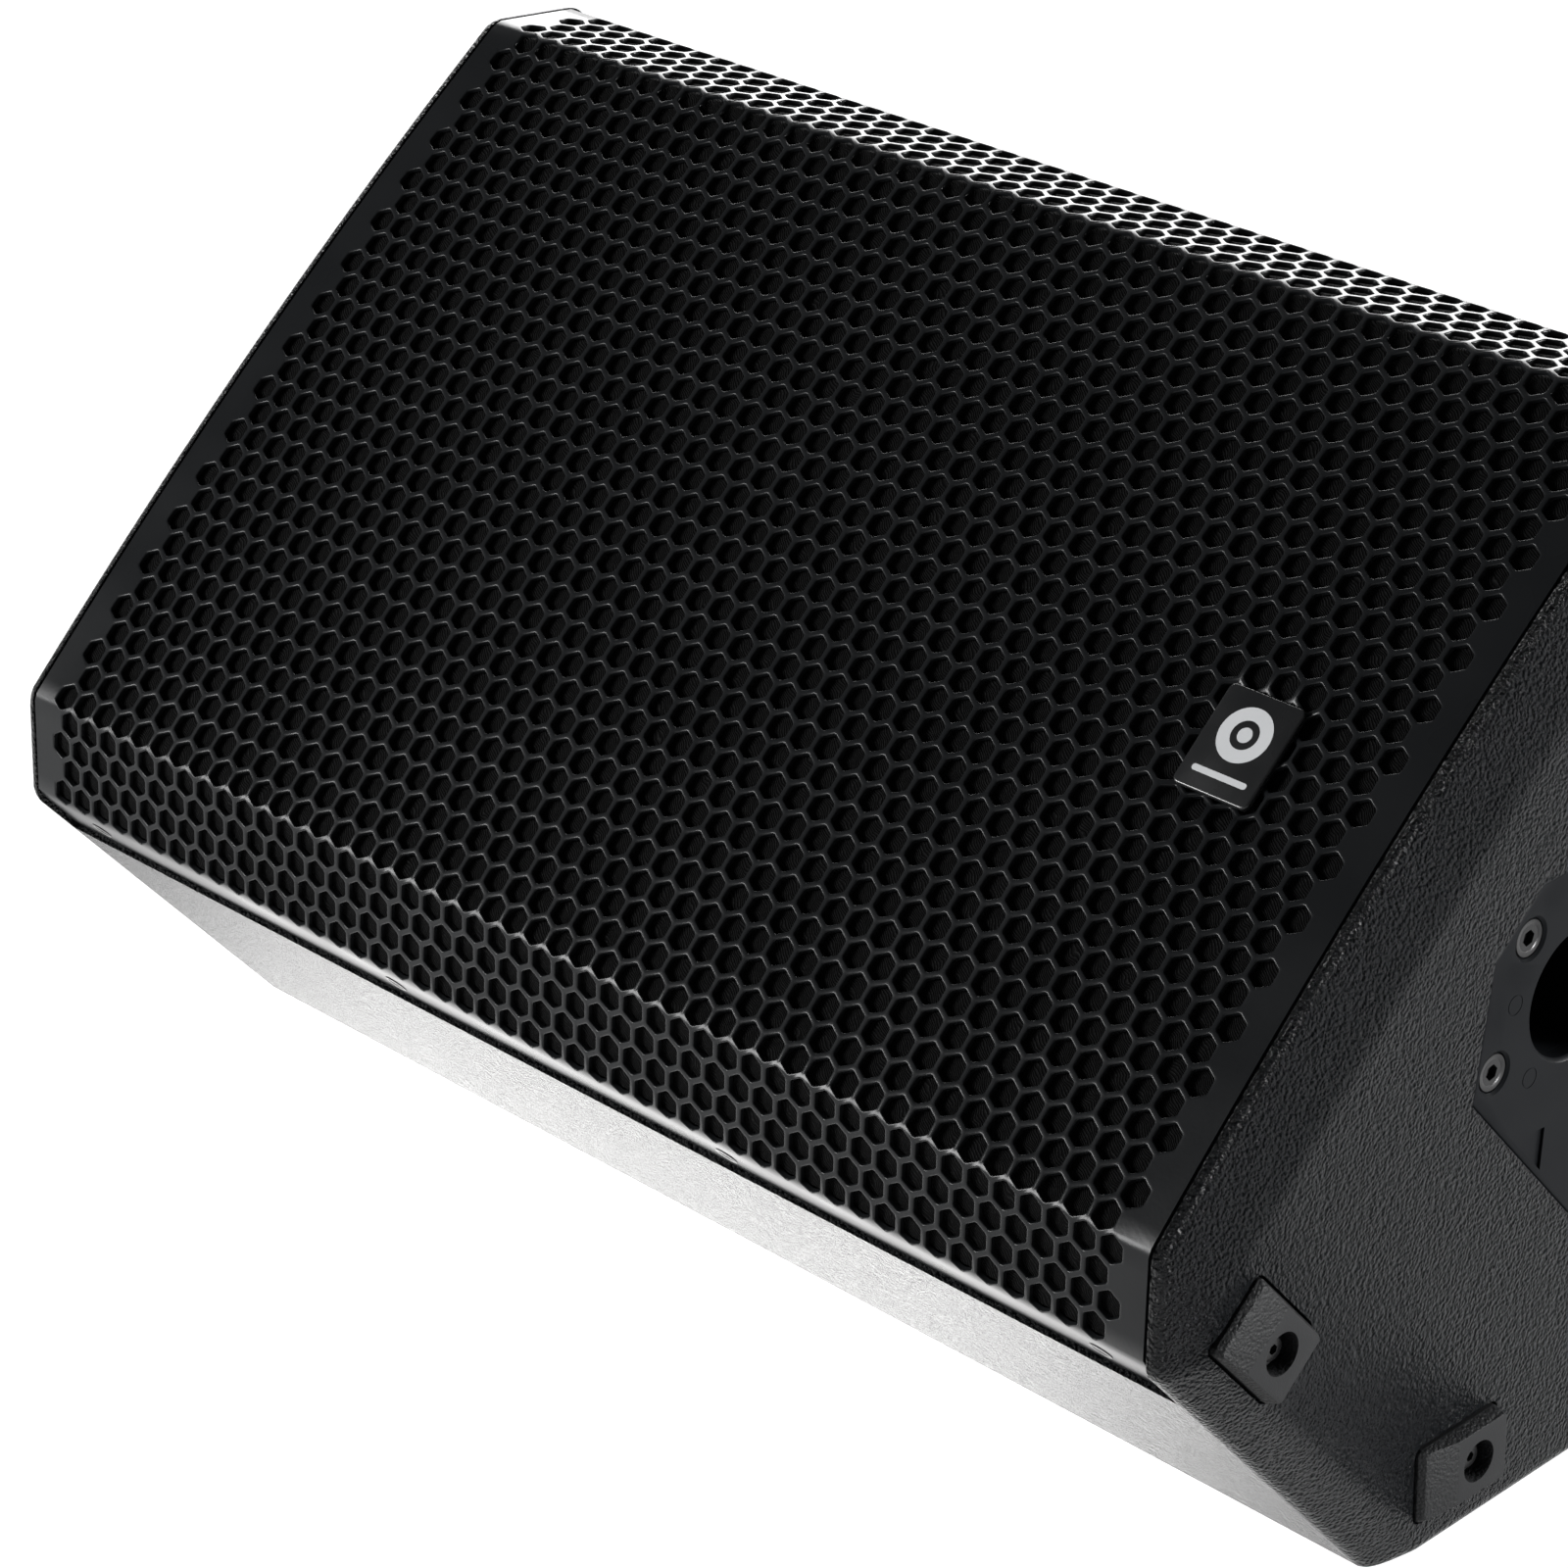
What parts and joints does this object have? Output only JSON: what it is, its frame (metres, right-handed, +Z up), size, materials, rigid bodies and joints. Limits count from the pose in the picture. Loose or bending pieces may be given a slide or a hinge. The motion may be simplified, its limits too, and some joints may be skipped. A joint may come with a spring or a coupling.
{
  "type": "stage monitor wedge",
  "caption": "Wedge-shaped floor monitor with a folded hexagon-mesh grille, coaxial driver, pole socket plate, side feet, bar handle and rear amplifier tray.",
  "frame": {"origin": "on the floor, under the middle of the cabinet's bounding box", "axes": "+X along the width towards the pole plate, -Y towards the listener, +Z up"},
  "size_m": [0.472, 0.31, 0.2988],
  "materials": {
    "cabinet_paint": "birch plywood under a pebbled black polyurea coat",
    "grille_steel": "satin black powder coat on perforated steel",
    "foam": "black open foam and cloth behind the grille",
    "badge": "satin black moulding with a plain raised mark",
    "screw_black": "black oxide",
    "moulded_black": "fine satin moulded black",
    "rubber": "matte black, pebbled on the slopes",
    "cast_alloy": "black cast alloy",
    "cone_paper": "black pressed paper",
    "coil_copper": "enamelled winding on a former",
    "magnet_ferrite": "dull ferrite",
    "plated_steel": "zinc plated",
    "spider_cloth": "phenolic cloth",
    "titanium": "thin titanium dome",
    "wool": "grey polyester wadding",
    "panel_alloy": "fine black powder coat on aluminium",
    "board": "green solder resist",
    "supply_case": "bare sheet case",
    "socket_plastic": "black engineering plastic",
    "control_plastic": "soft-touch black",
    "rocker_plastic": "dark red rocker",
    "led_lens": "green lens"
  },
  "bodies": {
    "cabinet": {"side_panel_right": "cabinet_paint", "side_panel_left": "cabinet_paint", "top_panel": "cabinet_paint", "under_panel": "cabinet_paint", "base_panel": "cabinet_paint", "rear_panel": "cabinet_paint", "baffle_board": "cabinet_paint", "grille_sheet": "grille_steel", "grille_foam": "foam", "badge_plate": "badge", "grille_screw_1": "screw_black", "grille_screw_2": "screw_black", "grille_screw_3": "screw_black", "grille_screw_4": "screw_black", "driver_basket": "cast_alloy", "driver_trim_ring": "rubber", "woofer_surround": "rubber", "woofer_spider": "spider_cloth", "motor_top_plate": "plated_steel", "magnet_ring": "magnet_ferrite", "motor_back_plate": "plated_steel", "hf_horn": "moulded_black", "hf_housing": "cast_alloy", "port_tube_right": "moulded_black", "port_tube_left": "moulded_black", "damping_pad": "wool", "pole_plate": "moulded_black", "pole_cup_upright": "moulded_black", "pole_cup_tilted": "moulded_black", "side_foot_1": "rubber", "side_foot_2": "rubber", "side_foot_3": "rubber", "side_foot_4": "rubber", "base_foot_1": "rubber", "base_foot_2": "rubber", "base_foot_3": "rubber", "base_foot_4": "rubber", "handle_cup": "moulded_black", "handle_bar": "moulded_black", "amp_tray": "panel_alloy", "heatsink": "panel_alloy", "circuit_board": "board", "power_supply": "supply_case", "input_socket_1": "socket_plastic", "input_socket_2": "socket_plastic", "link_socket": "socket_plastic", "mains_inlet": "socket_plastic", "rocker_frame": "socket_plastic", "status_led": "led_lens"},
    "woofer_moving": {"woofer_cone": "cone_paper", "voice_coil": "coil_copper"},
    "hf_moving": {"hf_diaphragm": "titanium"},
    "latch_1": {"latch_tab_1": "control_plastic"},
    "latch_2": {"latch_tab_2": "control_plastic"},
    "rocker": {"power_rocker": "rocker_plastic"},
    "knob_1": {"level_knob_1": "control_plastic"},
    "knob_2": {"level_knob_2": "control_plastic"},
    "knob_3": {"level_knob_3": "control_plastic"},
    "mode_slide": {"mode_switch": "control_plastic"},
    "select_push": {"select_button": "control_plastic"}
  },
  "joints": [
    {"name": "woofer_travel", "type": "slide", "parent": "cabinet", "child": "woofer_moving", "axis": [0, -0.6428, 0.766], "range_m": [-0.004, 0.004], "stiffness_N_per_m": 6000},
    {"name": "hf_travel", "type": "slide", "parent": "cabinet", "child": "hf_moving", "axis": [0, -0.6428, 0.766], "range_m": [-0.0003, 0.0003], "stiffness_N_per_m": 8000},
    {"name": "latch_push_1", "type": "slide", "parent": "cabinet", "child": "latch_1", "axis": [0, -0.9848, 0.1736], "range_m": [0, 0.0015], "stiffness_N_per_m": 300},
    {"name": "latch_push_2", "type": "slide", "parent": "cabinet", "child": "latch_2", "axis": [0, -0.9848, 0.1736], "range_m": [0, 0.0015], "stiffness_N_per_m": 300},
    {"name": "power_rock", "type": "hinge", "parent": "cabinet", "child": "rocker", "pos_m": [-0.134, 0.11918, 0.07475], "axis": [1, 0, 0], "range_deg": [0, 16]},
    {"name": "level_turn_1", "type": "hinge", "parent": "cabinet", "child": "knob_1", "pos_m": [-0.01, 0.11932, 0.0727], "axis": [0, 0.9848, -0.1736], "range_deg": [-150, 150]},
    {"name": "level_turn_2", "type": "hinge", "parent": "cabinet", "child": "knob_2", "pos_m": [-0.042, 0.11932, 0.0727], "axis": [0, 0.9848, -0.1736], "range_deg": [-150, 150]},
    {"name": "level_turn_3", "type": "hinge", "parent": "cabinet", "child": "knob_3", "pos_m": [-0.074, 0.11932, 0.0727], "axis": [0, 0.9848, -0.1736], "range_deg": [-150, 150]},
    {"name": "mode_shift", "type": "slide", "parent": "cabinet", "child": "mode_slide", "axis": [-1, 0, 0], "range_m": [0, 0.007]},
    {"name": "select_press", "type": "slide", "parent": "cabinet", "child": "select_push", "axis": [0, -0.9848, 0.1736], "range_m": [0, 0.002], "stiffness_N_per_m": 400}
  ]
}
